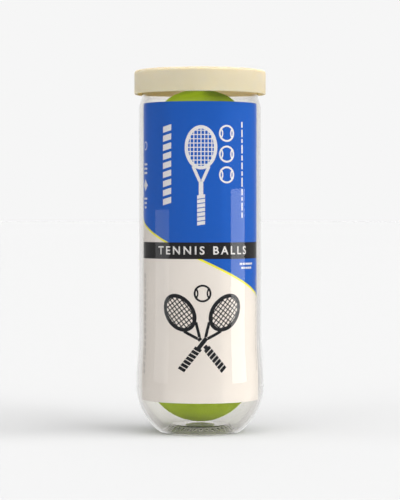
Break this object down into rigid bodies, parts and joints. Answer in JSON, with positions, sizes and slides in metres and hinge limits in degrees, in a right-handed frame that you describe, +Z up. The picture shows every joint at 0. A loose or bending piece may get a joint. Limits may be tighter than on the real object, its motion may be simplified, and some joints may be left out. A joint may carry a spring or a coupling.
{
  "type": "tennis ball can",
  "caption": "Clear plastic can with a printed inner sleeve, a push-on overcap and a seamed metal end with a ring pull, holding a stack of tennis balls.",
  "frame": {"origin": "centre of the foot ring, on the surface that the can stands on", "axes": "+Z up along the can's axis; -Y is the front of the printed sleeve; the ring pull's nose points to +Y"},
  "size_m": [0.0792, 0.0792, 0.2178],
  "materials": {
    "clear_plastic": "clear blow-moulded polyester, glossy",
    "printed_film": "printed film, blue and cream with a black band",
    "cap_plastic": "moulded polyethylene, cream, matte",
    "end_metal": "rolled and lacquered aluminium sheet",
    "sealing_compound": "soft grey compound",
    "ball_felt": "optic yellow wool and nylon felt with a raised nap",
    "seam_rubber": "off-white vulcanised rubber",
    "core_rubber": "dark moulded rubber"
  },
  "bodies": {
    "can": {"can_body": "clear_plastic", "label_sleeve": "printed_film", "seam_compound": "sealing_compound", "end_ring": "end_metal"},
    "ball_bottom": {"ball_bottom_core_half_a": "core_rubber", "ball_bottom_core_half_b": "core_rubber", "ball_bottom_felt_a": "ball_felt", "ball_bottom_felt_b": "ball_felt", "ball_bottom_seam": "seam_rubber"},
    "ball_middle": {"ball_middle_core_half_a": "core_rubber", "ball_middle_core_half_b": "core_rubber", "ball_middle_felt_a": "ball_felt", "ball_middle_felt_b": "ball_felt", "ball_middle_seam": "seam_rubber"},
    "ball_top": {"ball_top_core_half_a": "core_rubber", "ball_top_core_half_b": "core_rubber", "ball_top_felt_a": "ball_felt", "ball_top_felt_b": "ball_felt", "ball_top_seam": "seam_rubber"},
    "end_panel": {"tear_panel": "end_metal", "tab_rivet": "end_metal", "tab_tongue": "end_metal"},
    "tab": {"pull_tab": "end_metal"},
    "cap": {"overcap": "cap_plastic"}
  },
  "joints": [
    {"name": "ball_bottom_lift", "type": "slide", "parent": "can", "child": "ball_bottom", "axis": [0, 0, 1], "range_m": [0, 0.215]},
    {"name": "ball_middle_lift", "type": "slide", "parent": "ball_bottom", "child": "ball_middle", "axis": [0, 0, 1], "range_m": [0, 0.146]},
    {"name": "ball_top_lift", "type": "slide", "parent": "ball_middle", "child": "ball_top", "axis": [0, 0, 1], "range_m": [0, 0.08]},
    {"name": "panel_lift", "type": "slide", "parent": "ball_top", "child": "end_panel", "axis": [0, 0, 1], "range_m": [0, 0.03]},
    {"name": "cap_lift", "type": "slide", "parent": "end_panel", "child": "cap", "axis": [0, 0, 1], "range_m": [0, 0.05]},
    {"name": "tab_hinge", "type": "hinge", "parent": "end_panel", "child": "tab", "pos_m": [0, 0.0315, 0.2101], "axis": [-1, 0, 0], "range_deg": [0, 90]}
  ],
  "couplings": [
    {"joint": "tab_hinge", "follows": "cap_lift", "rad_per_m": 31.41}
  ]
}
